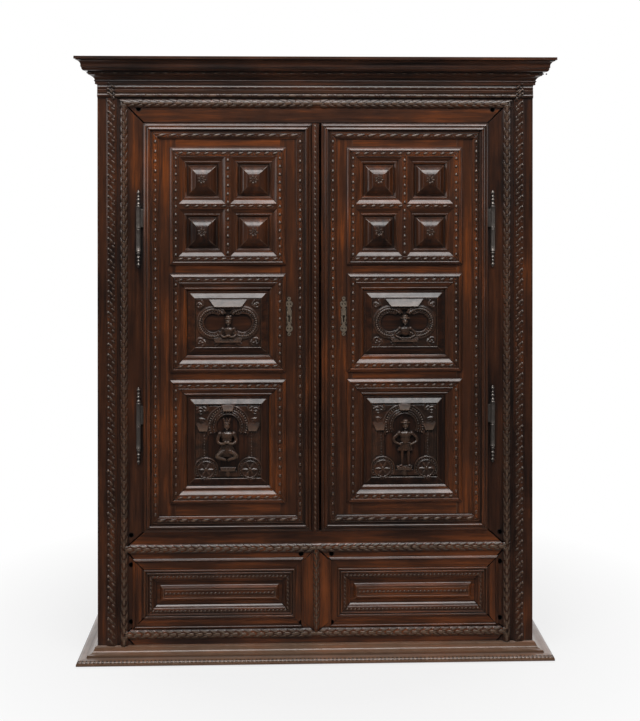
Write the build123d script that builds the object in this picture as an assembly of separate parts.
"""Two-door panelled cabinet: frame-and-panel carcase, coffered doors on lift-off vase hinges.

Frame: +Z up, front towards -Y, +X to the right of someone who faces the front.
The origin is on the floor, at the middle of the cabinet's plan.
"""
from build123d import *
import math
import os

# ---- carcase, millimetres ----
BODY_W = 1600.0          # across the outer faces of the posts
BODY_D = 600.0           # face of the front frame to the back of the rear posts
POST_W = 167.0           # front posts, across the front
POST_T = 60.0            # front frame, front to back
REAR_POST = 60.0         # rear posts, square
STOP_W = 12.0            # how far the frame laps behind the doors' edges
MITRE_T = 24.0           # depth of the mitred face layer on the front rails
TENON_T = 18.0
TENON_L = 60.0
TENON_BACK = 30.0        # face of the frame to the front of its tenons
SIDE_TENON_L = 30.0
TENON_EDGE = 4.0         # rail's edge to its tenon, and in multiples of this where it is more
MUNTIN_TENON_DEEP = (55.0, 70.0)  # into the bottom rail and into the middle rail
JOINT_GAP = 0.2          # play round a tenon or a panel's tongue

# ---- front rails, from the floor up ----
FOOT_H = 16.0            # floor to the bottom rail
BOTTOM_RAIL_H = 134.0
LOWER_OPENING_H = 178.0
MID_RAIL_H = 139.0
TOP_BAND_H = 90.0        # face of the top rail below the frieze
FRIEZE_H = 49.0
CORNICE_H = 96.0
BOTTOM_TORUS_UP = 76.0   # each torus above its rail's lower edge
MID_TORUS_UP = 77.0
TOP_TORUS_UP = 70.0
ARROW_L = 70.0           # how far a rail's pointed end reaches into the post
MUNTIN_W = 157.0

# ---- worked faces ----
TORUS_OUT = 9.0
RAIL_TORUS_W = 34.0
POST_TORUS_W = 28.0
MUNTIN_TORUS_W = 21.0
POST_FLAT_W = 56.0       # plain strip beside the door
CHANNEL_W = 12.0
CHANNEL_DEEP = 4.0
BAND_W = 38.0
BAND_OUT = 6.0

# ---- cornice and plinth ----
CORNICE_OUT = 74.0
ROOF_SUNK = 4.0          # top of the cornice to the top of the roof boards
FRIEZE_OUT = 7.0
PLINTH_OUT = 68.0
PLINTH_FOOT = 4.0        # floor to the plinth moulding
PLINTH_H = 50.0

# ---- sides, back, floor, shelves, roof ----
SIDE_T = 40.0
SIDE_MID_RAIL_H = 100.0
SIDE_MID_UP = 748.0      # middle of that rail above the front middle rail
SIDE_PANEL_T = 16.0
SIDE_PANEL_BACK = 12.0   # outer face of the side frame to its panels' tongues
TONGUE = 8.0             # how far a panel's edge enters its groove
BACK_RAIL_T = 38.0
BACK_BOARD_T = 18.0
BACK_RAIL_W = 110.0
BOARD_GAP = 1.0
BACK_BOARD_N = 7
FLOOR_T = 20.0
FLOOR_DROP = 2.0         # top of the bottom rail to the top of the floor
SHELF_T = 22.0
LOWER_SHELF_UP = 383.0   # each shelf's top above the front middle rail
UPPER_SHELF_UP = 933.0
SHELF_BOARD_N = 3
CLEAT = 30.0
ROOF_T = 18.0
ROOF_BOARD_N = 4

# ---- doors ----
MEETING_GAP = 7.0
ASTRAGAL_W = 26.0
HINGE_GAP = 2.5
DOOR_GAP_Z = 4.0
DOOR_T = 30.0
DOOR_PROUD = 14.0        # front of the door's boards ahead of the post's face
STOP_GAP = 0.5
OUTER_MOULDING_W = 57.0
STILE_SHOW = 95.0        # door's edge to the outer edge of a panel moulding
RING_W = 62.0
RING_LIP = 20.0          # how far a panel moulding laps over the boards
TOP_SHOW = 87.0          # the boards that show above, between and below the groups
UPPER_SHOW = 31.0
LOWER_SHOW = 26.0
BOTTOM_SHOW = 103.0
COFFER_GROUP_H = 431.0   # each group of panels outside its moulding
WIDE_GROUP_H = 361.0
SQUARE_GROUP_H = 453.0
COFFER_BAR_W = 76.0
PANEL_GROOVE = (-22.0, -12.0)
RING_BACK = -28.0
SLOPE_W = 19.0           # the slope of a panel moulding or coffer bar down to its panel
SLOPE_TOP = 7.0          # its top ahead of the boards, and its foot behind them
SLOPE_FOOT = 8.0
PYRAMID_OUT = 15.0
PYRAMID_TIP = 15.0
DOOR_TENON_T = 10.0
DOOR_TENON_L = 45.0

# ---- carved panels ----
CARVED_BEVEL = 20.0
CARVED_RISE = 10.0
CARVED_RIM = 6.0         # flat between the bevel and the sunk ground
CARVED_SUNK = 4.0
RELIEF = 7.0             # strapwork above the ground
STRAP_W = 18.0
LOOP_R = 42.0            # middle of each loop's strap on the wide panels
LOOP_X = 55.0
ARCH_R = 57.0
ARCH_UP = 44.0           # its centre above the middle of the square panels
DISC_R = 38.0
DISC_X = 77.0
DISC_DOWN = 101.0
HOOD = (74.0, 82.0, 56.0)      # half its width and its height at the top, and both at its foot
BASE_BAND = (96.0, 17.0, 62.0)  # width, height, and how far down
WIDE_FIGURE = (40.0, 60.0, 58.0)  # width of the figure's block, its top and its foot
SQUARE_FIGURE = (44.0, 74.0)
KEYSTONE = (20.0, 34.0, 14.0)  # width, height, and its middle above the arch
EAR = (42.0, 30.0, 92.0, 47.0)  # width, height and place
SIDE_POST = (90.0, 34.0, 84.0, 72.0)
VEE = (52.0, 22.0, 10.0, 112.0)
THIN_STRAP_W = 13.0
FOOT_BLOCK = (34.0, 22.0)

# ---- lower panels ----
LOWER_RING_W = 46.0
LOWER_BEVEL = 16.0
LOWER_RISE = 7.0

# ---- hinges ----
LOWER_HINGE_UP = 387.0   # door's foot to the joint of the lower hinge
UPPER_HINGE_DOWN = 385.0
BARREL_R = 8.25
BARREL_L = 160.0
FINIAL_L = 62.0
PIN_R = 4.5
PIN_FIT = 0.05
KNUCKLE_GAP = 0.5
PIN_L = 62.0             # each way from the joint of the two knuckles
AXIS_BESIDE = 17.0       # opening's edge to the hinge axis
AXIS_AHEAD = 9.0         # post's face to the hinge axis
LEAF_T = 3.0
LEAF_H = 66.0
LEAF_IN = 28.0

# ---- locks and bolts ----
KEYHOLE_UP = 786.0       # door's foot to the keyhole
ESCUTCHEON_W = 27.0
ESCUTCHEON_LAP = 2.0     # how far the key plate reaches over the panel moulding's edge
ESCUTCHEON_H = 144.0
ESCUTCHEON_T = 2.0
KEY_R = 4.0
KEY_SLOT_W = 4.5
KEY_SLOT_L = 20.0
CASE_L = 96.0
CASE_H = 78.0
CASE_T = 18.0
CASE_WALL = 2.0
BOLT_H = 18.0
BOLT_T = 8.0
BOLT_THROW = 18.0
BOLT_FIT = 0.3
KEEPER_L = 26.0
KEEPER_H = 46.0
SLIDE_R = 5.0
SLIDE_L = 150.0
SLIDE_THROW = 15.0
SLIDE_FIT = 0.1
SOCKET_PLAY = 1.5        # round the slide bolt in its mortise
SLIDE_IN = 54.5          # left door's meeting edge to the slide bolt
GUIDE_H = 14.0
PEG_R = 4.5
PEG_FIT = 0.1
PEG_SUNK = 2.0
TOP_PEG = (17.0, 49.0)   # beside the door opening, and above it
POST_PEG_IN = 45.0       # opening's edge to the pegs in the posts
POST_PEG_DOWN = 10.0     # rail's edge to those pegs
MUNTIN_PEG_IN = 56.0
MUNTIN_PEG_OFF = (54.0, 20.0)  # above the middle rail's foot, below the bottom rail's top

# ---- places worked out from the sizes ----
FRONT = CORNICE_OUT - (BODY_D + CORNICE_OUT) / 2
BACK = (BODY_D + CORNICE_OUT) / 2
SIDE = BODY_W / 2
OPEN_X = SIDE - POST_W
GROUP_H = (COFFER_GROUP_H, WIDE_GROUP_H, SQUARE_GROUP_H)
GROUP_SPACE = (UPPER_SHOW, LOWER_SHOW)
BOTTOM_RAIL_Z = (FOOT_H, FOOT_H + BOTTOM_RAIL_H)
MID_RAIL_Z = (BOTTOM_RAIL_Z[1] + LOWER_OPENING_H, BOTTOM_RAIL_Z[1] + LOWER_OPENING_H + MID_RAIL_H)
DOOR_H = TOP_SHOW + sum(GROUP_H) + sum(GROUP_SPACE) + BOTTOM_SHOW
DOOR_Z = (MID_RAIL_Z[1] + DOOR_GAP_Z, MID_RAIL_Z[1] + DOOR_GAP_Z + DOOR_H)
DOOR_OPEN_TOP = DOOR_Z[1] + DOOR_GAP_Z
FRIEZE_Z = (DOOR_OPEN_TOP + TOP_BAND_H, DOOR_OPEN_TOP + TOP_BAND_H + FRIEZE_H)
CORNICE_TOP = FRIEZE_Z[1] + CORNICE_H
BODY_H = CORNICE_TOP - ROOF_SUNK - ROOF_T
BOTTOM_TORUS_Z = BOTTOM_RAIL_Z[0] + BOTTOM_TORUS_UP
MID_TORUS_Z = MID_RAIL_Z[0] + MID_TORUS_UP
TOP_TORUS_Z = DOOR_OPEN_TOP + TOP_TORUS_UP
PLINTH_Z = (PLINTH_FOOT, PLINTH_FOOT + PLINTH_H)
SIDE_MID_Z = (MID_RAIL_Z[1] + SIDE_MID_UP - SIDE_MID_RAIL_H / 2,
              MID_RAIL_Z[1] + SIDE_MID_UP + SIDE_MID_RAIL_H / 2)
FLOOR_TOP = BOTTOM_RAIL_Z[1] - FLOOR_DROP
SHELF_TOPS = (MID_RAIL_Z[1] + LOWER_SHELF_UP, MID_RAIL_Z[1] + UPPER_SHELF_UP)
HINGE_Z = (DOOR_Z[0] + LOWER_HINGE_UP, DOOR_Z[1] - UPPER_HINGE_DOWN)
KEYHOLE_Z = DOOR_Z[0] + KEYHOLE_UP
DOOR_FRAME_W = OPEN_X - HINGE_GAP - (MEETING_GAP + ASTRAGAL_W) / 2
DOOR_FACE = FRONT - DOOR_PROUD
DOOR_BACK = DOOR_FACE + DOOR_T
AXIS_X = OPEN_X + AXIS_BESIDE
AXIS_Y = FRONT - AXIS_AHEAD
LEFT_DOOR_X = (-OPEN_X + HINGE_GAP, -OPEN_X + HINGE_GAP + DOOR_FRAME_W)
RIGHT_DOOR_X = (OPEN_X - HINGE_GAP - DOOR_FRAME_W, OPEN_X - HINGE_GAP)
SHELF_FRONT = FRONT + POST_T
SHELF_BACK = BACK - REAR_POST
INNER_X = SIDE - SIDE_T
RING_X = STILE_SHOW + RING_W
PLATE_IN = STILE_SHOW + ESCUTCHEON_LAP - ESCUTCHEON_W / 2
SLIDE_X = LEFT_DOOR_X[1] - SLIDE_IN


# ---- helpers ----
def block(x, y, z):
    """A box from three (low, high) pairs."""
    corner = [min(span) for span in (x, y, z)]
    size = [abs(span[1] - span[0]) for span in (x, y, z)]
    middle = [low + length / 2 for low, length in zip(corner, size)]
    return Pos(*middle) * Box(*size)


def outline(*points):
    """A closed face in XY. A point given as a pair of points is an arc: through the first, to the second."""
    edges = []
    here = points[0]
    for step in list(points[1:]) + [points[0]]:
        if isinstance(step[0], tuple):
            edges.append(ThreePointArc(here, step[0], step[1]))
            here = step[1]
        elif math.dist(here, step) > 1e-6:
            edges.append(Line(here, step))
            here = step
    return make_face(edges)


def prism_xz(points, y):
    """A prism over a polygon in the XZ plane, between two values of y."""
    plane = Plane(origin=(0, y[1], 0), x_dir=(1, 0, 0), z_dir=(0, -1, 0))
    return extrude(plane * outline(*points), amount=y[1] - y[0])


def prism_xy(points, z):
    """A prism over a polygon in plan, between two heights."""
    return Pos(0, 0, z[0]) * extrude(outline(*points), amount=z[1] - z[0])


def along_x(face, x):
    """A moulding along X. The face's first axis is distance ahead of y = 0 (towards -Y), its second is Z."""
    plane = Plane(origin=(x[1], 0, 0), x_dir=(0, -1, 0), z_dir=(-1, 0, 0))
    return extrude(plane * face, amount=x[1] - x[0])


def other_side(part):
    """The same piece on the other side of the cabinet."""
    return mirror(part, about=Plane.YZ)


def solids(*parts):
    """The separate solids of one node."""
    found = []
    for part in parts:
        found.extend(part.solids())
    return found


def save(name, *parts):
    """Writes one node, of one solid or of several separate ones."""
    pieces = solids(*parts)
    shape = pieces[0] if len(pieces) == 1 else Compound(children=pieces)
    export_step(shape, f"parts/{name}.step")


def boards(x, y, z, count, run):
    """Equal boards side by side along the named axis, with a shrinkage gap between them."""
    span = {"x": x, "y": y, "z": z}[run]
    pitch = (span[1] - span[0] + BOARD_GAP) / count
    pieces = []
    for number in range(count):
        low = span[0] + number * pitch
        part = (low, low + pitch - BOARD_GAP)
        pieces.append(block(*[part if axis == run else whole for axis, whole in zip("xyz", (x, y, z))]))
    return pieces


# ---- mitred rings of moulding ----
def ring(x, z, face_y, width, profile):
    """Four mitred strips round a rectangle. In the profile, u runs inwards and v towards the front."""
    (x0, x1), (z0, z1) = x, z
    deep = (face_y - POST_T, face_y + POST_T)
    inner = ((x0 + width, x1 - width), (z0 + width, z1 - width))
    (a0, a1), (b0, b1) = inner
    sides = [
        (Plane((x0, face_y, z0), x_dir=(0, 0, 1), z_dir=(1, 0, 0)), x1 - x0,
         [(x0, z0), (x1, z0), (a1, b0), (a0, b0)]),
        (Plane((x1, face_y, z1), x_dir=(0, 0, -1), z_dir=(-1, 0, 0)), x1 - x0,
         [(x1, z1), (x0, z1), (a0, b1), (a1, b1)]),
        (Plane((x0, face_y, z1), x_dir=(1, 0, 0), z_dir=(0, 0, -1)), z1 - z0,
         [(x0, z1), (x0, z0), (a0, b0), (a0, b1)]),
        (Plane((x1, face_y, z0), x_dir=(-1, 0, 0), z_dir=(0, 0, 1)), z1 - z0,
         [(x1, z0), (x1, z1), (a1, b1), (a1, b0)]),
    ]
    strips = []
    for plane, length, wedge in sides:
        strips.append(extrude(plane * profile, amount=length) & prism_xz(wedge, deep))
    return strips


def outer_moulding_profile():
    """Planted round the door's edge: a roll, a fillet and the raised ribbon band."""
    w = OUTER_MOULDING_W
    return outline((0, 0), (0, 7), ((9, 16), (19, 10)), (24, 10), (24, 7), (30, 7), (30, 9.5), (33, 9.5),
                   (34, 5), (38, 9), (w - 8, 9), (w - 3, 4), (w, 4), (w, 0))


def panel_moulding_profile():
    """Lapped over the boards' edge: a roll, a ribbon band, a slope down to the panel, and its groove."""
    low, high = PANEL_GROOVE
    inner = RING_W - TONGUE
    return outline((0, 0), (0, 5), ((7, 13), (14, 8)), (18, 8), (20, 5), (25, 8), (35, 8), (40, 4),
                   (RING_W - SLOPE_W - 1, 4), (RING_W - SLOPE_W, SLOPE_TOP), (RING_W, -SLOPE_FOOT),
                   (RING_W, high), (inner, high), (inner, low), (RING_W, low),
                   (RING_W, RING_BACK), (RING_LIP + JOINT_GAP, RING_BACK), (RING_LIP + JOINT_GAP, 0))


def lower_moulding_profile():
    """Inside the lower openings: two beads, a hollow and a ribbon band, and the panel's groove."""
    low, high = PANEL_GROOVE
    w = LOWER_RING_W
    inner = w - TONGUE
    return outline((0, RING_BACK), (0, 2), ((5, 6), (10, 2)), (12, 3), (16, 1), (18, -3), (23, 0), (31, 0),
                   (36, -4), (w, -9), (w, high), (inner, high), (inner, low), (w, low), (w, RING_BACK))


# ---- carcase: posts and front rails ----
def arrow(z, tip_z, reach):
    """Outline in XZ of a rail whose pointed ends reach into both posts."""
    low, high = z
    far = OPEN_X + reach
    return [(-OPEN_X, low), (OPEN_X, low), (far, tip_z), (OPEN_X, high), (-OPEN_X, high), (-far, tip_z)]


def muntin_outline():
    """The muntin's pointed ends reach to the middle of the torus of both rails."""
    half = MUNTIN_W / 2
    return [(-half, BOTTOM_RAIL_Z[1]), (0, BOTTOM_TORUS_Z), (half, BOTTOM_RAIL_Z[1]),
            (half, MID_RAIL_Z[0]), (0, MID_TORUS_Z), (-half, MID_RAIL_Z[0])]


def top_mitre():
    """Face layer of the top rail: its plain band and torus, mitred into the posts at 45 degrees."""
    reach = FRIEZE_Z[0] - DOOR_OPEN_TOP
    far = OPEN_X + reach
    return [(-OPEN_X, DOOR_OPEN_TOP), (OPEN_X, DOOR_OPEN_TOP), (far, FRIEZE_Z[0]), (-far, FRIEZE_Z[0])]


def face_layer(points):
    """The zone that a mitred face takes out of its neighbours."""
    return prism_xz(points, (FRONT - 2 * TORUS_OUT, FRONT + MITRE_T))


def torus_bar_x(z, torus_z, width, reach):
    """Length of rail face with its torus, before its ends are shaped."""
    half = width / 2
    face = outline((-MITRE_T, z[0]), (-MITRE_T, z[1]), (0, z[1]), (0, torus_z + half),
                   ((TORUS_OUT, torus_z), (0, torus_z - half)), (0, z[0]))
    return Pos(0, FRONT, 0) * along_x(face, (-OPEN_X - reach, OPEN_X + reach))


def tenon_box(x, z, gap=0.0):
    """A tenon of the front frame, or with a gap its mortise."""
    y = (FRONT + TENON_BACK - gap, FRONT + TENON_BACK + TENON_T + gap)
    return block((x[0] - gap, x[1] + gap), y, (z[0] - gap, z[1] + gap))


TENON_Z = {
    "bottom": (BOTTOM_RAIL_Z[0] + 2.5 * TENON_EDGE, BOTTOM_RAIL_Z[1] - TENON_EDGE),
    "mid": (MID_RAIL_Z[0] + 1.5 * TENON_EDGE, MID_RAIL_Z[1] - TENON_EDGE),
    "top": (DOOR_OPEN_TOP + 5 * TENON_EDGE, BODY_H - 10 * TENON_EDGE),
}
MUNTIN_TENON_X = (-MUNTIN_W / 2 + 3 * TENON_EDGE, MUNTIN_W / 2 - 3 * TENON_EDGE)
MUNTIN_TENON_Z = (BOTTOM_RAIL_Z[1] - MUNTIN_TENON_DEEP[0], MID_RAIL_Z[0] + MUNTIN_TENON_DEEP[1])
PEGS = [(side * (OPEN_X + TOP_PEG[0]), DOOR_OPEN_TOP + TOP_PEG[1]) for side in (-1, 1)]
PEGS += [(side * (OPEN_X + POST_PEG_IN), z) for side in (-1, 1)
         for z in (MID_RAIL_Z[1] - POST_PEG_DOWN, MID_RAIL_Z[0] + 2 * POST_PEG_DOWN,
                   BOTTOM_RAIL_Z[1] - POST_PEG_DOWN)]
PEGS += [(side * MUNTIN_PEG_IN, z) for side in (-1, 1)
         for z in (MID_RAIL_Z[0] + MUNTIN_PEG_OFF[0], BOTTOM_RAIL_Z[1] - MUNTIN_PEG_OFF[1])]


def peg(x, z, radius, y):
    """An eight-sided peg between two values of y."""
    plane = Plane((x, y[1], z), x_dir=(1, 0, 0), z_dir=(0, -1, 0))
    return extrude(plane * RegularPolygon(radius, 8), amount=y[1] - y[0])


def peg_holes(part):
    """Cuts the joints' peg holes through a piece of the front frame."""
    for x, z in PEGS:
        part -= peg(x, z, PEG_R + PEG_FIT, (FRONT - 2 * TORUS_OUT, FRONT + TENON_BACK + TENON_T))
    return part


def front_rail(z, torus_z, width, points, reach, tenon_z):
    """One rail of the front frame: mitred face, block between the posts, and a tenon at each end."""
    face = torus_bar_x(z, torus_z, width, reach) & face_layer(points)
    core = block((-OPEN_X, OPEN_X), (FRONT + MITRE_T, FRONT + POST_T), z)
    tenons = tenon_box((-OPEN_X - TENON_L, OPEN_X + TENON_L), tenon_z)
    return face + core + tenons


def door_stop_rail(z):
    """The strip of a rail that the doors shut against."""
    half = OPEN_X - STOP_W
    return block((-half, half), (DOOR_BACK + STOP_GAP, FRONT + POST_T), z)


def front_top_rail():
    face_z = (DOOR_OPEN_TOP, FRIEZE_Z[0])
    rail = front_rail(face_z, TOP_TORUS_Z, RAIL_TORUS_W, top_mitre(), FRIEZE_Z[0] - DOOR_OPEN_TOP,
                      TENON_Z["top"])
    rail += block((-OPEN_X, OPEN_X), (FRONT, FRONT + POST_T), (FRIEZE_Z[0], BODY_H))
    rail += door_stop_rail((DOOR_OPEN_TOP - STOP_W, DOOR_OPEN_TOP))
    rail -= slide_bolt_socket()
    return peg_holes(rail)


def front_mid_rail():
    rail = front_rail(MID_RAIL_Z, MID_TORUS_Z, RAIL_TORUS_W, arrow(MID_RAIL_Z, MID_TORUS_Z, ARROW_L),
                      ARROW_L, TENON_Z["mid"])
    rail += door_stop_rail((MID_RAIL_Z[1], MID_RAIL_Z[1] + STOP_W))
    rail -= face_layer(muntin_outline())
    rail -= tenon_box(MUNTIN_TENON_X, MUNTIN_TENON_Z, JOINT_GAP)
    return peg_holes(rail)


def front_bottom_rail():
    rail = front_rail(BOTTOM_RAIL_Z, BOTTOM_TORUS_Z, RAIL_TORUS_W,
                      arrow(BOTTOM_RAIL_Z, BOTTOM_TORUS_Z, ARROW_L), ARROW_L, TENON_Z["bottom"])
    plinth_seat = block((-SIDE, SIDE), (FRONT - 2 * TORUS_OUT, FRONT), (0, PLINTH_Z[1]))
    rail -= plinth_seat
    rail -= face_layer(muntin_outline())
    rail -= tenon_box(MUNTIN_TENON_X, MUNTIN_TENON_Z, JOINT_GAP)
    return peg_holes(rail)


def lower_muntin():
    half = MUNTIN_W / 2
    bead = MUNTIN_TORUS_W / 2
    section = outline((-half, MITRE_T), (-half, 0), (-bead, 0), ((0, -TORUS_OUT), (bead, 0)), (half, 0),
                      (half, MITRE_T))
    bar = Pos(0, FRONT, BOTTOM_TORUS_Z) * extrude(section, amount=MID_TORUS_Z - BOTTOM_TORUS_Z)
    muntin = bar & face_layer(muntin_outline())
    muntin += block((-half, half), (FRONT + MITRE_T, FRONT + POST_T), (BOTTOM_RAIL_Z[1], MID_RAIL_Z[0]))
    muntin += tenon_box(MUNTIN_TENON_X, MUNTIN_TENON_Z)
    return peg_holes(muntin)


def post_section():
    """Plan of the right front post, from the opening outwards: strip, torus, channel, band, strip."""
    torus = OPEN_X + POST_FLAT_W
    channel = torus + POST_TORUS_W
    band = channel + CHANNEL_W
    strip = band + BAND_W
    return outline(
        (OPEN_X, FRONT + POST_T), (OPEN_X, FRONT), (torus, FRONT),
        ((torus + POST_TORUS_W / 2, FRONT - TORUS_OUT), (channel, FRONT)),
        (channel, FRONT + CHANNEL_DEEP), (band, FRONT + CHANNEL_DEEP), (band, FRONT),
        ((band + BAND_W / 2, FRONT - BAND_OUT), (strip, FRONT)), (SIDE, FRONT), (SIDE, FRONT + POST_T))


def front_post():
    """The right post, with what the rails, the hinges and the side panels need cut from it."""
    post = extrude(post_section(), amount=FRIEZE_Z[0])
    post -= block((OPEN_X, SIDE), (FRONT - 2 * TORUS_OUT, FRONT), (0, PLINTH_Z[1]))
    post += block((OPEN_X, SIDE), (FRONT, FRONT + POST_T), (FRIEZE_Z[0], BODY_H))
    post += block((OPEN_X - STOP_W, OPEN_X), (DOOR_BACK + STOP_GAP, FRONT + POST_T),
                  (MID_RAIL_Z[1], DOOR_OPEN_TOP))
    post -= face_layer(arrow(MID_RAIL_Z, MID_TORUS_Z, ARROW_L))
    post -= face_layer(arrow(BOTTOM_RAIL_Z, BOTTOM_TORUS_Z, ARROW_L))
    post -= face_layer(top_mitre())
    for tenon_z in TENON_Z.values():
        post -= tenon_box((OPEN_X - TENON_L, OPEN_X + TENON_L), tenon_z, JOINT_GAP) \
            & block((OPEN_X, SIDE), (FRONT, BACK), (0, BODY_H))
    for z in HINGE_Z:
        post -= frame_leaf(z, JOINT_GAP)
    for z in side_panel_spans():
        post -= side_tongue(z, JOINT_GAP)
    for tenon in side_tenons(JOINT_GAP):
        post -= tenon
    return peg_holes(post)


def rear_post():
    post = block((SIDE - REAR_POST, SIDE), (BACK - REAR_POST, BACK), (0, BODY_H))
    for z in side_panel_spans():
        post -= side_tongue(z, JOINT_GAP)
    for tenon in side_tenons(JOINT_GAP):
        post -= tenon
    return post


# ---- carcase: sides ----
SIDE_RAILS_Z = [BOTTOM_RAIL_Z, MID_RAIL_Z, SIDE_MID_Z, (DOOR_OPEN_TOP, BODY_H)]


def side_panel_spans():
    """Heights of the panels between the side rails."""
    return [(low[1], high[0]) for low, high in zip(SIDE_RAILS_Z, SIDE_RAILS_Z[1:])]


def side_tongue(z, gap):
    """The square edge of a side panel, or with a gap the groove that holds it."""
    x = (SIDE - SIDE_PANEL_BACK - SIDE_PANEL_T, SIDE - SIDE_PANEL_BACK)
    y = (SHELF_FRONT - TONGUE, SHELF_BACK + TONGUE)
    return block((x[0] - gap, x[1] + gap), (y[0] - gap, y[1] + gap),
                 (z[0] - TONGUE - gap, z[1] + TONGUE + gap))


def side_tenons(gap):
    """The tenons of the side rails, or with a gap their mortises."""
    x = (SIDE - SIDE_T / 2 - TENON_T / 2, SIDE - SIDE_T / 2 + TENON_T / 2)
    y = (SHELF_FRONT - SIDE_TENON_L, SHELF_BACK + SIDE_TENON_L)
    tenons = []
    for low, high in SIDE_RAILS_Z:
        z = (low + 1.5 * TONGUE, high - 1.5 * TONGUE)
        tenons.append(block((x[0] - gap, x[1] + gap), (y[0] - gap, y[1] + gap), (z[0] - gap, z[1] + gap)))
    return tenons


def side_rails():
    rails = []
    for span, tenon in zip(SIDE_RAILS_Z, side_tenons(0)):
        rail = block((INNER_X, SIDE), (SHELF_FRONT, SHELF_BACK), span)
        for z in side_panel_spans():
            rail -= side_tongue(z, JOINT_GAP)
        rails.append(rail + tenon)
    return rails


def side_panels():
    """Raised and fielded panels: square tongue, bevel, and a flat field just inside the frame's face."""
    bevel, sunk = 45.0, 3.0
    width = SHELF_BACK - SHELF_FRONT - 2
    turn = Pos(SIDE - SIDE_PANEL_BACK, (SHELF_FRONT + SHELF_BACK) / 2, 0) * Rot(0, 0, 90)
    panels = []
    for z in side_panel_spans():
        height = z[1] - z[0] - 2
        field = frustum(0, sum(z) / 2, 0, SIDE_PANEL_BACK - sunk, (width, height),
                        (width - 2 * bevel, height - 2 * bevel))
        panels.append(side_tongue(z, 0) + turn * field)
    return panels


# ---- carcase: back, floor, shelves, roof ----
def back_rails():
    x = (-SIDE + REAR_POST, SIDE - REAR_POST)
    y = (BACK - REAR_POST, BACK - REAR_POST + BACK_RAIL_T)
    middle = sum(SIDE_MID_Z) / 2
    spans = [(BOTTOM_RAIL_Z[0], BOTTOM_RAIL_Z[0] + BACK_RAIL_W),
             (middle - BACK_RAIL_W / 2, middle + BACK_RAIL_W / 2), (BODY_H - BACK_RAIL_W, BODY_H)]
    return [block(x, y, z) for z in spans]


def back_boards():
    y = BACK - REAR_POST + BACK_RAIL_T
    return boards((-SIDE + REAR_POST, SIDE - REAR_POST), (y, y + BACK_BOARD_T), (BOTTOM_RAIL_Z[0], BODY_H),
                  BACK_BOARD_N, "x")


def floor_boards():
    return boards((-INNER_X, INNER_X), (SHELF_FRONT, SHELF_BACK), (FLOOR_TOP - FLOOR_T, FLOOR_TOP),
                  SHELF_BOARD_N, "y")


def shelves():
    pieces = []
    for top in SHELF_TOPS:
        pieces += boards((-INNER_X, INNER_X), (SHELF_FRONT, SHELF_BACK), (top - SHELF_T, top),
                         SHELF_BOARD_N, "y")
    return pieces


def shelf_cleats():
    """Battens under the ends of the shelves and along the front and back of the floor."""
    pieces = []
    for top in SHELF_TOPS:
        z = (top - SHELF_T - CLEAT, top - SHELF_T)
        cleat = block((INNER_X - CLEAT, INNER_X), (SHELF_FRONT, SHELF_BACK), z)
        pieces += [cleat, other_side(cleat)]
    floor_z = (FLOOR_TOP - FLOOR_T - CLEAT, FLOOR_TOP - FLOOR_T)
    half = SIDE - REAR_POST
    pieces.append(block((-half, half), (SHELF_FRONT, SHELF_FRONT + CLEAT), floor_z))
    pieces.append(block((-half, half), (SHELF_BACK - CLEAT, SHELF_BACK), floor_z))
    return pieces


def roof_boards():
    return boards((-SIDE, SIDE), (FRONT, BACK), (BODY_H, BODY_H + ROOF_T), ROOF_BOARD_N, "y")


# ---- cornice, frieze and plinth ----
def cornice_profile():
    """Out from the frame and up: band, bead, hollow, carved band, ovolo, cyma and fillet."""
    base, top, out = FRIEZE_Z[1], CORNICE_TOP, CORNICE_OUT
    return outline((0, base), (8, base), (8, base + 10), ((11, base + 13), (8, base + 16)),
                   ((15, base + 26), (29, base + 33)), (31, base + 45), (out - 31, base + 46),
                   ((out - 25, base + 51), (out - 24, base + 59)), (out - 21, base + 59),
                   (out - 21, base + 68),
                   ((out - 17, base + 77), (out - 6, top - 13)), (out - 6, top - 10), (out, top - 10),
                   (out, top), (0, top))


def plinth_profile():
    """First axis ahead of the frame, second height: a flat foot, an ovolo, a riser and an ogee."""
    low, high = PLINTH_Z
    out = PLINTH_OUT
    return outline((0, low), (out, low), (out, low + 6), ((out - 4, low + 13), (out - 14, low + 17)),
                   (out - 33, low + 18), (out - 35, low + 25), ((out - 46, low + 27), (out - 54, low + 33)),
                   ((out - 57, low + 39), (out - 60, high - 4)), (0, high))


def mitred_front(profile, out):
    """A moulding across the front, mitred at both corners."""
    bar = Pos(0, FRONT, 0) * along_x(profile, (-SIDE - out, SIDE + out))
    plan = [(-SIDE - out, FRONT - out), (SIDE + out, FRONT - out), (SIDE, FRONT), (-SIDE, FRONT)]
    return bar & prism_xy(plan, (0, CORNICE_TOP + 1))


def mitred_return(profile, out):
    """The same moulding along the right side, from the mitre to the back."""
    plane = Plane((SIDE, FRONT - out, 0), x_dir=(1, 0, 0), z_dir=(0, -1, 0))
    bar = extrude(plane * profile, amount=-(BACK - FRONT + out))
    plan = [(SIDE, FRONT), (SIDE + out, FRONT - out), (SIDE + out, BACK), (SIDE, BACK)]
    return bar & prism_xy(plan, (0, CORNICE_TOP + 1))


def frieze_moulding():
    """Strip under the cornice: a bead for the bead-and-reel, a fillet and a small hollow band."""
    low, high = FRIEZE_Z
    face = outline((0, low), (4, low), ((9, low + 9), (4, low + 17)), (FRIEZE_OUT, low + 18),
                   (FRIEZE_OUT, low + 29), (4, low + 31), ((6, low + 38), (4, low + 45)),
                   (FRIEZE_OUT, low + 46), (FRIEZE_OUT, high), (0, high))
    return Pos(0, FRONT, 0) * along_x(face, (-SIDE, SIDE))


def joint_pegs():
    return [peg(x, z, PEG_R, (FRONT + PEG_SUNK, FRONT + TENON_BACK + TENON_T)) for x, z in PEGS]


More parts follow.
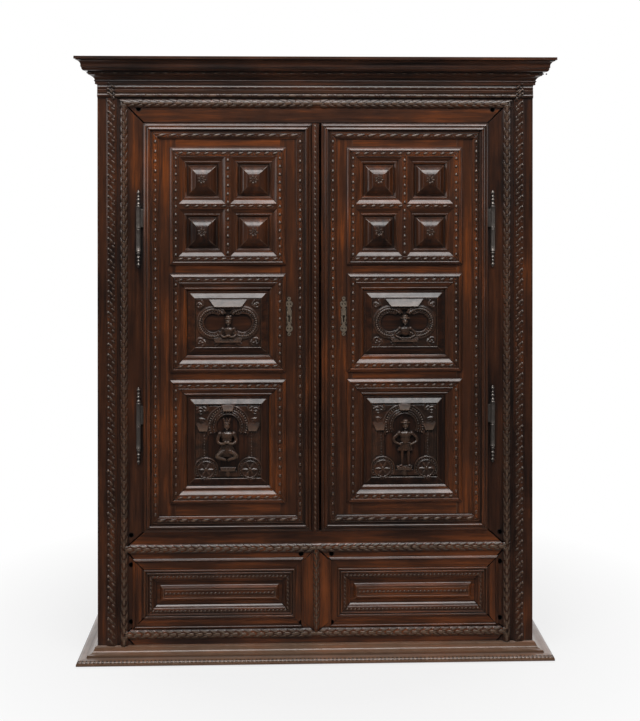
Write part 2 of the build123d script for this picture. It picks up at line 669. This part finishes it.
# ---- lower panels ----
def lower_opening():
    """The right opening between the muntin and the post."""
    return (MUNTIN_W / 2, OPEN_X), (BOTTOM_RAIL_Z[1], MID_RAIL_Z[0])


def lower_moulding():
    x, z = lower_opening()
    return ring(x, z, FRONT, LOWER_RING_W, lower_moulding_profile())


def lower_panel():
    (x0, x1), (z0, z1) = lower_opening()
    width, height = x1 - x0 - 2 * LOWER_RING_W, z1 - z0 - 2 * LOWER_RING_W
    return fielded_panel((x0 + x1) / 2, (z0 + z1) / 2, width, height, FRONT,
                         LOWER_BEVEL, LOWER_RISE)


def frustum(x, z, y, rise, foot, tip):
    """A four-sided raised field with flat faces, from its foot at y towards the front."""
    def wedge(low, high):
        return outline((-low / 2, 0), (low / 2, 0), (high / 2, rise), (-high / 2, rise))
    reach = max(foot)
    upright = Plane((x, y, z - reach / 2), x_dir=(-1, 0, 0), z_dir=(0, 0, 1))
    across = Plane((x - reach / 2, y, z), x_dir=(0, 0, 1), z_dir=(1, 0, 0))
    return extrude(upright * wedge(foot[0], tip[0]), amount=reach) \
        & extrude(across * wedge(foot[1], tip[1]), amount=reach)


def fielded_panel(x, z, width, height, face_y, bevel, rise):
    """A panel whose tongue sits in its mouldings' groove, with a bevel up to a flat field."""
    low, high = PANEL_GROOVE
    edge = TONGUE - JOINT_GAP
    tongue = block((x - width / 2 - edge, x + width / 2 + edge), (face_y - high, face_y - low - JOINT_GAP),
                   (z - height / 2 - edge, z + height / 2 + edge))
    return tongue + frustum(x, z, face_y - high, rise, (width - 2, height - 2),
                            (width - 2 * bevel, height - 2 * bevel))


# ---- doors ----
def group_spans():
    """Heights of the three groups of panels, outside their mouldings, from the top down."""
    spans = []
    top = DOOR_Z[1] - TOP_SHOW
    for height, space in zip(GROUP_H, GROUP_SPACE + (0,)):
        spans.append((top - height, top))
        top -= height + space
    return spans


def door_rail_spans():
    """Heights of the door's rails, which the panel mouldings lap over."""
    edges = [DOOR_Z[1]]
    for low, high in group_spans():
        edges += [high - RING_LIP, low + RING_LIP]
    edges.append(DOOR_Z[0])
    return [(low, high) for high, low in zip(edges[::2], edges[1::2])]


def door_tenon(x, z, gap):
    """The tenons of one door rail, or with a gap their mortises."""
    middle = (DOOR_FACE + DOOR_BACK) / 2
    inner = (x[0] + STILE_SHOW + RING_LIP, x[1] - STILE_SHOW - RING_LIP)
    return block((inner[0] - DOOR_TENON_L - gap, inner[1] + DOOR_TENON_L + gap),
                 (middle - DOOR_TENON_T / 2 - gap, middle + DOOR_TENON_T / 2 + gap),
                 (z[0] + 6 - gap, z[1] - 6 + gap))


def door_stile(x, door_x):
    """One upright of a door, mortised for the rails."""
    stile = block(x, (DOOR_FACE, DOOR_BACK), DOOR_Z)
    for z in door_rail_spans():
        stile -= door_tenon(door_x, z, JOINT_GAP)
    return stile


def door_rails(door_x):
    inner = (door_x[0] + STILE_SHOW + RING_LIP, door_x[1] - STILE_SHOW - RING_LIP)
    return [block(inner, (DOOR_FACE, DOOR_BACK), z) + door_tenon(door_x, z, 0) for z in door_rail_spans()]


def ring_box(door_x, span):
    """The rectangle round one group's moulding."""
    return (door_x[0] + STILE_SHOW, door_x[1] - STILE_SHOW), span


def coffer_bar_profile():
    """Bar between the diamond points: a ribbon band with a slope to each side, grooved for the panels."""
    half = COFFER_BAR_W / 2
    low, high = PANEL_GROOVE
    edge = half - TONGUE
    right = [(half - SLOPE_W, SLOPE_TOP), (half, -SLOPE_FOOT), (half, high), (edge, high), (edge, low),
             (half, low), (half, RING_BACK)]
    left = [(-u, v) for u, v in reversed(right)]
    return outline((-12, 5), ((0, 9), (12, 5)), *right, *left)


def scribed(bar, run, span, others):
    """Takes what it meets out of a bar's ends. Behind the slopes it reaches only over its span."""
    far = 1000.0
    for part in ((span[0] - far, span[0]), (span[1], span[1] + far)):
        sides = {"x": (-far, far), "z": (0, 3 * far), run: part}
        bar -= block(sides["x"], (DOOR_FACE + SLOPE_FOOT, DOOR_BACK + CASE_T), sides["z"])
    for other in others:
        bar -= other
    return max(bar.solids(), key=lambda piece: piece.volume)


def coffer_bars(door_x):
    """One bar across, and an upright above and below it. Their ends lie on the slopes of what they meet."""
    span = group_spans()[0]
    half = COFFER_BAR_W / 2
    strips = ring(*ring_box(door_x, span), DOOR_FACE, RING_W, panel_moulding_profile())
    x = (door_x[0] + RING_X, door_x[1] - RING_X)
    z = (span[0] + RING_W, span[1] - RING_W)
    middle_x, middle_z = sum(x) / 2, sum(z) / 2
    level = Plane((x[0] - SLOPE_W, DOOR_FACE, middle_z), x_dir=(0, 0, 1), z_dir=(1, 0, 0))
    across = extrude(level * coffer_bar_profile(), amount=x[1] - x[0] + 2 * SLOPE_W)
    bars = [scribed(across, "x", x, strips)]
    for low, high in ((z[0], middle_z - half), (middle_z + half, z[1])):
        upright = Plane((middle_x, DOOR_FACE, low - SLOPE_W), x_dir=(-1, 0, 0), z_dir=(0, 0, 1))
        bar = extrude(upright * coffer_bar_profile(), amount=high - low + 2 * SLOPE_W)
        bars.append(scribed(bar, "z", (low, high), strips + [across]))
    return bars


def diamond_point(x, z, width, height):
    """One pyramid panel on its square tongue, with a small step round its foot."""
    step, margin = 3.0, 8.0
    panel = fielded_panel(x, z, width, height, DOOR_FACE, step + 1, step)
    return panel + frustum(x, z, DOOR_FACE - PANEL_GROOVE[1] - step, PYRAMID_OUT - PANEL_GROOVE[1] - step,
                           (width - 2 * margin, height - 2 * margin), (PYRAMID_TIP, PYRAMID_TIP))


def coffer_panels(door_x):
    span = group_spans()[0]
    width = (door_x[1] - door_x[0] - 2 * RING_X - COFFER_BAR_W) / 2
    height = (span[1] - span[0] - 2 * RING_W - COFFER_BAR_W) / 2
    middle_x, middle_z = sum(door_x) / 2, sum(span) / 2
    shift_x, shift_z = (width + COFFER_BAR_W) / 2, (height + COFFER_BAR_W) / 2
    return [diamond_point(middle_x + i * shift_x, middle_z + j * shift_z, width, height)
            for i in (-1, 1) for j in (-1, 1)]


# ---- the carved panels' raised strapwork ----
def relief(panel_xz, sketch, ground):
    """Raises a flat pattern off a panel's ground."""
    x, z = panel_xz
    plane = Plane((x, ground, z), x_dir=(1, 0, 0), z_dir=(0, -1, 0))
    return extrude(plane * sketch, amount=RELIEF)


def loop(x, z, radius):
    return Pos(x, z) * (Circle(radius + STRAP_W / 2) - Circle(radius - STRAP_W / 2))


def strap(start, end, width=STRAP_W):
    """A straight strap between two points, with square ends."""
    length = math.dist(start, end)
    angle = math.degrees(math.atan2(end[1] - start[1], end[0] - start[0]))
    middle = ((start[0] + end[0]) / 2, (start[1] + end[1]) / 2)
    return Pos(*middle) * Rot(0, 0, angle) * Rectangle(length, width)


def wide_strapwork():
    """Two loops side by side under a hood, a base band, and the block that the figure is cut from."""
    half, top, foot = HOOD
    width, figure_top, figure_foot = WIDE_FIGURE
    pattern = loop(-LOOP_X, 0, LOOP_R) + loop(LOOP_X, 0, LOOP_R)
    pattern += make_face(Polyline((-half, top), (half, top), (foot, foot), (-foot, foot), close=True))
    pattern += Pos(0, -BASE_BAND[2]) * Rectangle(BASE_BAND[0], BASE_BAND[1])
    return pattern + strap((0, figure_top), (0, -figure_foot), width)


def square_strapwork():
    """A keyed arch with ears, side posts, two discs, straps that meet below, and the figure's block."""
    figure_w, figure_reach = SQUARE_FIGURE
    pattern = loop(0, ARCH_UP, ARCH_R)
    pattern += Pos(0, ARCH_UP + ARCH_R + KEYSTONE[2]) * Rectangle(KEYSTONE[0], KEYSTONE[1])
    pattern += strap((0, figure_reach), (0, -figure_reach), figure_w)
    for side in (-1, 1):
        pattern += Pos(side * EAR[2], EAR[3]) * Rectangle(EAR[0], EAR[1])
        top, foot = (side * SIDE_POST[0], SIDE_POST[1]), (side * SIDE_POST[2], -SIDE_POST[3])
        pattern += strap(top, foot, THIN_STRAP_W)
        pattern += Pos(side * DISC_X, -DISC_DOWN) * Circle(DISC_R)
        pattern += strap((side * VEE[0], VEE[1]), (side * VEE[2], -VEE[3]), THIN_STRAP_W)
    return pattern + Pos(0, -VEE[3]) * Rectangle(*FOOT_BLOCK)


def carved_panel(door_x, span, pattern):
    """Bevelled border, sunk ground, and the strapwork that the carver left standing on it."""
    x, z = sum(door_x) / 2, sum(span) / 2
    width = door_x[1] - door_x[0] - 2 * RING_X
    height = span[1] - span[0] - 2 * RING_W
    panel = fielded_panel(x, z, width, height, DOOR_FACE, CARVED_BEVEL, CARVED_RISE)
    field_y = DOOR_FACE - PANEL_GROOVE[1] - CARVED_RISE
    half_x, half_z = width / 2 - CARVED_BEVEL - CARVED_RIM, height / 2 - CARVED_BEVEL - CARVED_RIM
    ground = field_y + CARVED_SUNK
    panel -= block((x - half_x, x + half_x), (field_y - 1, ground), (z - half_z, z + half_z))
    return panel + relief((x, z), pattern, ground)


# ---- escutcheons, lock, keeper and slide bolt ----
def keyhole(x, y, gap=0.0):
    """The keyhole's cutter between two values of y."""
    shape = Circle(KEY_R + gap) + Pos(0, -KEY_SLOT_L / 2) * Rectangle(KEY_SLOT_W + 2 * gap, KEY_SLOT_L)
    plane = Plane((x, y[1], KEYHOLE_Z), x_dir=(1, 0, 0), z_dir=(0, -1, 0))
    return extrude(plane * shape, amount=y[1] - y[0])


def escutcheon_outline():
    """Strapwork plate: a waisted shield with a round lobe above and below, drawn out to small end rings."""
    lobe_z, ring_z = 0.31 * ESCUTCHEON_H, ESCUTCHEON_H / 2 - 7
    shape = Rectangle(19, 44) + Rectangle(12, 2 * lobe_z) + Rectangle(4, 2 * ring_z)
    for side in (-1, 1):
        shape += Pos(0, side * lobe_z) * Circle(ESCUTCHEON_W / 2)
        shape += Pos(0, side * ring_z) * (Circle(7) - Circle(2.6))
    return shape


def escutcheon(x):
    lobe_z = 0.31 * ESCUTCHEON_H
    shape = escutcheon_outline()
    for side in (-1, 1):
        for piercing in (-5.5, 5.5):
            shape -= Pos(piercing, side * lobe_z) * RegularPolygon(3, 4)
    plane = Plane((x, DOOR_FACE, KEYHOLE_Z), x_dir=(1, 0, 0), z_dir=(0, -1, 0))
    plate = extrude(plane * shape, amount=ESCUTCHEON_T)
    return plate - keyhole(x, (DOOR_FACE - 10, DOOR_FACE + 10))


def escutcheon_seat(x):
    """What is pared off the panel moulding so that the plate lies flat on the board."""
    reach = ESCUTCHEON_W / 2 + 0.5
    return block((x - reach, x + reach), (DOOR_FACE - 40, DOOR_FACE),
                 (KEYHOLE_Z - ESCUTCHEON_H / 2 - 1, KEYHOLE_Z + ESCUTCHEON_H / 2 + 1))


MEETING_X = RIGHT_DOOR_X[0]
BOLT_Y = (DOOR_BACK + CASE_T / 2 - BOLT_T / 2, DOOR_BACK + CASE_T / 2 + BOLT_T / 2)
BOLT_Z = (KEYHOLE_Z + 8, KEYHOLE_Z + 8 + BOLT_H)


def lock_case():
    """Iron box on the back of the right door, open where the bolt leaves it and behind the keyhole."""
    x = (MEETING_X + 1, MEETING_X + 1 + CASE_L)
    z = (KEYHOLE_Z - CASE_H / 2, KEYHOLE_Z + CASE_H / 2)
    case = block(x, (DOOR_BACK, DOOR_BACK + CASE_T), z)
    case -= block((x[0] + CASE_WALL, x[1] - CASE_WALL), (DOOR_BACK, DOOR_BACK + CASE_T - CASE_WALL),
                  (z[0] + CASE_WALL, z[1] - CASE_WALL))
    return case - block((x[0] - 1, x[0] + CASE_WALL + 1), (BOLT_Y[0] - BOLT_FIT, BOLT_Y[1] + BOLT_FIT),
                        (BOLT_Z[0] - BOLT_FIT, BOLT_Z[1] + BOLT_FIT)) + lock_rails(x)


def lock_rails(x):
    """Two ledges inside the case that carry the bolt."""
    run = (x[0] + CASE_WALL, x[1] - CASE_WALL)
    y = (DOOR_BACK, DOOR_BACK + CASE_T - CASE_WALL)
    return block(run, y, (BOLT_Z[0] - BOLT_FIT - 3, BOLT_Z[0] - BOLT_FIT)) \
        + block(run, y, (BOLT_Z[1] + BOLT_FIT, BOLT_Z[1] + BOLT_FIT + 3))


def lock_bolt():
    x = (MEETING_X + 1.5, MEETING_X + CASE_L - CASE_WALL - BOLT_THROW)
    return block(x, BOLT_Y, BOLT_Z)


def lock_keeper():
    """Iron staple on the back of the left door's astragal, with the slot that the bolt enters."""
    edge = MEETING_X - MEETING_GAP
    keeper = block((edge - 2 - KEEPER_L, edge - 2), (DOOR_BACK, DOOR_BACK + CASE_T),
                   (KEYHOLE_Z + 8 + BOLT_H / 2 - KEEPER_H / 2, KEYHOLE_Z + 8 + BOLT_H / 2 + KEEPER_H / 2))
    return keeper - block((edge - KEEPER_L + 4, edge), (BOLT_Y[0] - 1, BOLT_Y[1] + 1),
                          (BOLT_Z[0] - 1, BOLT_Z[1] + 1))


def slide_bolt_place():
    """Axis and foot of the round bolt behind the left door."""
    top = DOOR_OPEN_TOP - STOP_W - 1
    return DOOR_BACK + SLIDE_R + 3, (top - SLIDE_L, top)


def slide_bolt_socket():
    """Square mortise in the underside of the top rail."""
    y, z = slide_bolt_place()
    half = SLIDE_R + SOCKET_PLAY
    foot = DOOR_OPEN_TOP - STOP_W
    return block((SLIDE_X - half, SLIDE_X + half), (y - half, y + half), (foot - 1, foot + 2 * SLIDE_THROW))


def left_door_bolt():
    y, z = slide_bolt_place()
    rod = Pos(SLIDE_X, y, sum(z) / 2) * Cylinder(SLIDE_R, SLIDE_L)
    knob = Pos(SLIDE_X, y + 12, z[0] + 40) * Rot(90, 0, 0) * Cylinder(4, 24)
    return rod + knob


def bolt_guides():
    """Backing plate with two guide blocks for the round bolt."""
    y, z = slide_bolt_place()
    plate = block((SLIDE_X - 18, SLIDE_X + 18), (DOOR_BACK, DOOR_BACK + 2.5), (z[0] + 6, z[1] - 4))
    for low in (z[0] + 6, z[1] - 4 - GUIDE_H):
        plate += block((SLIDE_X - 11, SLIDE_X + 11), (DOOR_BACK, y + SLIDE_R + 4), (low, low + GUIDE_H))
    return plate - Pos(SLIDE_X, y, sum(z) / 2) * Cylinder(SLIDE_R + SLIDE_FIT, SLIDE_L + 20)


# ---- hinges ----
def finial_profile(base, direction):
    """Half outline of a vase finial in (radius, height), from the barrel's end outwards."""
    heights = [(BARREL_R, 0), (4.2, 16), (6.8, 27), (3.6, 39), (6.6, 51), (0, FINIAL_L)]
    return outline((0, base), *[(radius, base + direction * height) for radius, height in heights])


def turned(face, z):
    """A body turned round the hinge axis on the right side."""
    body = revolve(Plane.XZ * face, Axis.Z, 360)
    return Pos(AXIS_X, AXIS_Y, z) * body


def knuckle(direction):
    """One hollow knuckle with its closed finial; +1 is the upper one, on the door."""
    start = direction * KNUCKLE_GAP / 2
    end = direction * BARREL_L / 2
    bore_end = direction * (PIN_L + 1)
    fit = PIN_R + (PIN_FIT if direction > 0 else PIN_FIT / 2)
    wall = outline((fit, start), (BARREL_R, start), (BARREL_R, end), (0, end), (0, bore_end),
                   (fit, bore_end))
    return wall + finial_profile(end, direction)


def frame_leaf(z, gap=0.0):
    """The leaf let into the post, straight back from the lower knuckle."""
    half = LEAF_T / 2 + gap
    top = z - 6
    return block((AXIS_X - half, AXIS_X + half), (AXIS_Y + BARREL_R - 1.5, FRONT + LEAF_IN + gap),
                 (top - LEAF_H - gap, top + gap))


def door_leaf(z, gap=0.0):
    """The leaf let into the edge of the door's stile, from the upper knuckle."""
    half = LEAF_T / 2 + gap
    low = z + 6
    return block((OPEN_X - HINGE_GAP - LEAF_IN - gap, AXIS_X - BARREL_R + 1.5),
                 (AXIS_Y - half, AXIS_Y + half), (low - gap, low + LEAF_H + gap))


def hinge_frame_halves():
    return [turned(knuckle(-1), z) + frame_leaf(z) for z in HINGE_Z]


def hinge_door_halves():
    return [turned(knuckle(1), z) + door_leaf(z) for z in HINGE_Z]


def hinge_pins():
    return [Pos(AXIS_X, AXIS_Y, z) * Cylinder(PIN_R, 2 * PIN_L) for z in HINGE_Z]


# ---- assembly ----
def build_door(side, door_x):
    """All the nodes that the two doors share. The side is 'left' or 'right'."""
    inner_edge = door_x[1] if side == "left" else door_x[0]
    hinge_edge = door_x[0] if side == "left" else door_x[1]
    inward = -1 if side == "left" else 1
    stile_w = STILE_SHOW + RING_LIP
    plate_x = inner_edge + inward * PLATE_IN
    meeting = door_stile(sorted((inner_edge, inner_edge + inward * stile_w)), door_x)
    meeting -= keyhole(plate_x, (DOOR_FACE - 1, DOOR_BACK + 1))
    hinge = door_stile(sorted((hinge_edge, hinge_edge - inward * stile_w)), door_x)
    for z in HINGE_Z:
        leaf = door_leaf(z, JOINT_GAP)
        hinge -= other_side(leaf) if side == "left" else leaf
    top, wide, square = group_spans()
    rings = []
    for span in (top, wide, square):
        rings += ring(*ring_box(door_x, span), DOOR_FACE, RING_W, panel_moulding_profile())
    rings = [strip - escutcheon_seat(plate_x) for strip in rings]
    save(f"{side}_door_hinge_stile", hinge)
    save(f"{side}_door_meeting_stile", meeting)
    save(f"{side}_door_rails", *door_rails(door_x))
    save(f"{side}_door_outer_moulding", *ring(door_x, DOOR_Z, DOOR_FACE, OUTER_MOULDING_W,
                                              outer_moulding_profile()))
    save(f"{side}_door_panel_mouldings", *rings)
    save(f"{side}_door_coffer_bars", *coffer_bars(door_x))
    save(f"{side}_door_coffer_panels", *coffer_panels(door_x))
    save(f"{side}_door_wide_panel", carved_panel(door_x, wide, wide_strapwork()))
    save(f"{side}_door_square_panel", carved_panel(door_x, square, square_strapwork()))
    save(f"{side}_door_escutcheon", escutcheon(plate_x))


def astragal():
    """Strip on the left door's meeting edge, rounded in front."""
    x0, x1 = LEFT_DOOR_X[1], LEFT_DOOR_X[1] + ASTRAGAL_W
    front = DOOR_FACE - 10
    section = outline((x0, DOOR_BACK), (x0, front), (x0 + 5, front),
                      ((x0 + 12, front - 6), (x0 + 19, front)),
                      (x1 - 3, front), ((x1 - 0.9, front + 0.9), (x1, front + 3)), (x1, DOOR_BACK))
    return Pos(0, 0, DOOR_Z[0]) * extrude(section, amount=DOOR_Z[1] - DOOR_Z[0])


def build_carcase():
    post, rear = front_post(), rear_post()
    cornice_side = mitred_return(cornice_profile(), CORNICE_OUT)
    plinth_side = mitred_return(plinth_profile(), PLINTH_OUT)
    pairs = {
        "front_post": [post], "rear_post": [rear], "side_rails": side_rails(), "side_panels": side_panels(),
        "lower_panel": [lower_panel()], "cornice": [cornice_side],
        "hinge_frame_halves": hinge_frame_halves(), "hinge_door_halves": hinge_door_halves(),
    }
    for name, pieces in pairs.items():
        save(f"{name}_right", *pieces)
        save(f"{name}_left", *[other_side(piece) for piece in pieces])
    save("plinth_returns", plinth_side, other_side(plinth_side))
    mouldings = lower_moulding()
    save("lower_mouldings", *mouldings, *[other_side(strip) for strip in mouldings])
    save("front_top_rail", front_top_rail())
    save("front_mid_rail", front_mid_rail())
    save("front_bottom_rail", front_bottom_rail())
    save("lower_muntin", lower_muntin())
    save("joint_pegs", *joint_pegs())
    save("back_rails", *back_rails())
    save("back_boards", *back_boards())
    save("floor_boards", *floor_boards())
    save("shelves", *shelves())
    save("shelf_cleats", *shelf_cleats())
    save("roof_boards", *roof_boards())
    save("cornice_front", mitred_front(cornice_profile(), CORNICE_OUT))
    save("plinth_front", mitred_front(plinth_profile(), PLINTH_OUT))
    save("frieze_moulding", frieze_moulding())
    pins = hinge_pins()
    save("hinge_pins", *pins, *[other_side(pin) for pin in pins])


def main():
    os.makedirs("parts", exist_ok=True)
    build_carcase()
    build_door("left", LEFT_DOOR_X)
    build_door("right", RIGHT_DOOR_X)
    save("left_door_astragal", astragal())
    save("lock_keeper", lock_keeper())
    save("left_door_bolt", left_door_bolt())
    save("left_door_bolt_guides", bolt_guides())
    save("lock_case", lock_case())
    save("lock_bolt", lock_bolt())


if __name__ == "__main__":
    main()
